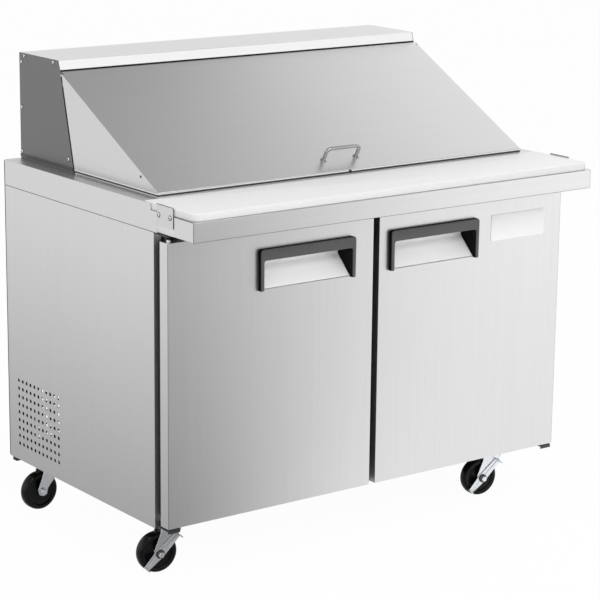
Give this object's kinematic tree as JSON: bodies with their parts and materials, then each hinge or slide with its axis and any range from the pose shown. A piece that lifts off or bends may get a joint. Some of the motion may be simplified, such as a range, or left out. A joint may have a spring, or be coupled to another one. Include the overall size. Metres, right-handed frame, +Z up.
{
  "type": "refrigerated sandwich prep table",
  "caption": "Stainless refrigerated prep table on casters: two doors with scoop handles, hinged lid over a pan well, rear hood and full-width white cutting board.",
  "frame": {"origin": "on the floor under the middle of the table's bounding box", "axes": "+Z up, -Y towards the user at the doors, +X to the user's right"},
  "size_m": [1.2263, 0.864, 1.172],
  "materials": {
    "stainless": "fine vertical brushed grain",
    "hood_end_steel": "brushed, darker side plate",
    "aluminium_liner": "plain rolled",
    "foam": "rigid insulating foam",
    "black_seal": "matte",
    "charcoal_plastic": "lightly textured",
    "white_board": "satin cutting-board polyethylene",
    "white_plate": "smooth",
    "black_steel": "satin powder coat",
    "zinc": "bright zinc plate",
    "wheel_black": "glossy moulded tread",
    "pan_steel": "satin pressed",
    "shelf_wire": "coated wire",
    "coil_fins": "plain fins",
    "white_case": "moulded",
    "fan_plastic": "moulded"
  },
  "bodies": {
    "root": {"left_side_panel": "stainless", "right_side_panel": "stainless", "base_pan": "black_steel", "rear_panel": "black_steel", "rear_grille": "black_steel", "cabinet_insulation": "foam", "cabinet_liner": "aluminium_liner", "door_mullion": "black_steel", "top_frame": "stainless", "board_shelf": "stainless", "shelf_brackets": "stainless", "hood_ends": "hood_end_steel", "hood_cover": "stainless", "hood_insulation": "white_case", "case_screws": "zinc", "lid_hinge_rod": "zinc", "door_hinge_brackets": "black_steel", "pan_divider_bars": "stainless", "food_pans": "pan_steel", "wire_shelves": "shelf_wire", "shelf_clips": "shelf_wire", "evaporator_coil": "coil_fins", "evaporator_housing": "white_case", "compressor": "black_steel", "condenser_coil": "coil_fins", "condenser_shroud": "black_steel", "fan_motors": "black_steel", "condensate_pan": "white_case", "control_box": "white_case", "caster_plates": "zinc"},
    "left_door": {"left_door_skin": "stainless", "left_door_liner": "white_case", "left_door_gasket": "black_seal", "left_door_handle": "charcoal_plastic", "left_door_scoop": "stainless"},
    "right_door": {"right_door_skin": "stainless", "right_door_liner": "white_case", "right_door_gasket": "black_seal", "right_door_handle": "charcoal_plastic", "right_door_scoop": "stainless", "door_badge": "white_plate"},
    "lid": {"lid_skin": "stainless", "lid_liner": "white_case", "lid_gasket": "black_seal", "lid_handle": "zinc", "lid_bumper": "black_seal", "lid_hinge_knuckles": "zinc"},
    "cutting_board": {"cutting_board": "white_board"},
    "evaporator_fan": {"evaporator_fan": "fan_plastic"},
    "condenser_fan": {"condenser_fan": "fan_plastic"},
    "front_left_swivel": {"front_left_caster_fork": "zinc"},
    "front_left_wheel": {"front_left_caster_wheel": "wheel_black"},
    "front_left_brake": {"front_left_brake_pedal": "zinc"},
    "front_right_swivel": {"front_right_caster_fork": "zinc"},
    "front_right_wheel": {"front_right_caster_wheel": "wheel_black"},
    "front_right_brake": {"front_right_brake_pedal": "zinc"},
    "rear_left_swivel": {"rear_left_caster_fork": "zinc"},
    "rear_left_wheel": {"rear_left_caster_wheel": "wheel_black"},
    "rear_right_swivel": {"rear_right_caster_fork": "zinc"},
    "rear_right_wheel": {"rear_right_caster_wheel": "wheel_black"}
  },
  "joints": [
    {"name": "left_door_hinge", "type": "hinge", "parent": "root", "child": "left_door", "pos_m": [-0.594, -0.31, 0.14], "axis": [0, 0, -1], "range_deg": [0, 105]},
    {"name": "right_door_hinge", "type": "hinge", "parent": "root", "child": "right_door", "pos_m": [0.594, -0.31, 0.14], "axis": [0, 0, 1], "range_deg": [0, 105]},
    {"name": "lid_hinge", "type": "hinge", "parent": "root", "child": "lid", "pos_m": [0, 0.21704, 1.13767], "axis": [-1, 0, 0], "range_deg": [0, 118]},
    {"name": "board_lift", "type": "slide", "parent": "root", "child": "cutting_board", "axis": [0, 0, 1], "range_m": [0, 0.08]},
    {"name": "evaporator_fan_spin", "type": "hinge", "parent": "root", "child": "evaporator_fan", "pos_m": [0, 0.256, 0.54], "axis": [0, 1, 0], "continuous": true},
    {"name": "condenser_fan_spin", "type": "hinge", "parent": "root", "child": "condenser_fan", "pos_m": [0.15, 0.237, 0.23], "axis": [0, 1, 0], "continuous": true},
    {"name": "front_left_swivel", "type": "hinge", "parent": "root", "child": "front_left_swivel", "pos_m": [-0.539, -0.226, 0.115], "axis": [0, 0, 1], "continuous": true},
    {"name": "front_left_wheel_spin", "type": "hinge", "parent": "front_left_swivel", "child": "front_left_wheel", "pos_m": [-0.57073, -0.22182, 0.05], "axis": [0.1305, 0.9914, 0], "continuous": true},
    {"name": "front_left_brake_press", "type": "hinge", "parent": "front_left_swivel", "child": "front_left_brake", "pos_m": [-0.57073, -0.22182, 0.05], "axis": [0.1305, 0.9914, 0], "range_deg": [0, 14]},
    {"name": "front_right_swivel", "type": "hinge", "parent": "root", "child": "front_right_swivel", "pos_m": [0.473, -0.226, 0.115], "axis": [0, 0, 1], "continuous": true},
    {"name": "front_right_wheel_spin", "type": "hinge", "parent": "front_right_swivel", "child": "front_right_wheel", "pos_m": [0.44127, -0.22182, 0.05], "axis": [0.1305, 0.9914, 0], "continuous": true},
    {"name": "front_right_brake_press", "type": "hinge", "parent": "front_right_swivel", "child": "front_right_brake", "pos_m": [0.44127, -0.22182, 0.05], "axis": [0.1305, 0.9914, 0], "range_deg": [0, 14]},
    {"name": "rear_left_swivel", "type": "hinge", "parent": "root", "child": "rear_left_swivel", "pos_m": [-0.539, 0.338, 0.115], "axis": [0, 0, 1], "continuous": true},
    {"name": "rear_left_wheel_spin", "type": "hinge", "parent": "rear_left_swivel", "child": "rear_left_wheel", "pos_m": [-0.57092, 0.33577, 0.05], "axis": [-0.0698, 0.9976, 0], "continuous": true},
    {"name": "rear_right_swivel", "type": "hinge", "parent": "root", "child": "rear_right_swivel", "pos_m": [0.473, 0.338, 0.115], "axis": [0, 0, 1], "continuous": true},
    {"name": "rear_right_wheel_spin", "type": "hinge", "parent": "rear_right_swivel", "child": "rear_right_wheel", "pos_m": [0.44108, 0.33577, 0.05], "axis": [-0.0698, 0.9976, 0], "continuous": true}
  ]
}
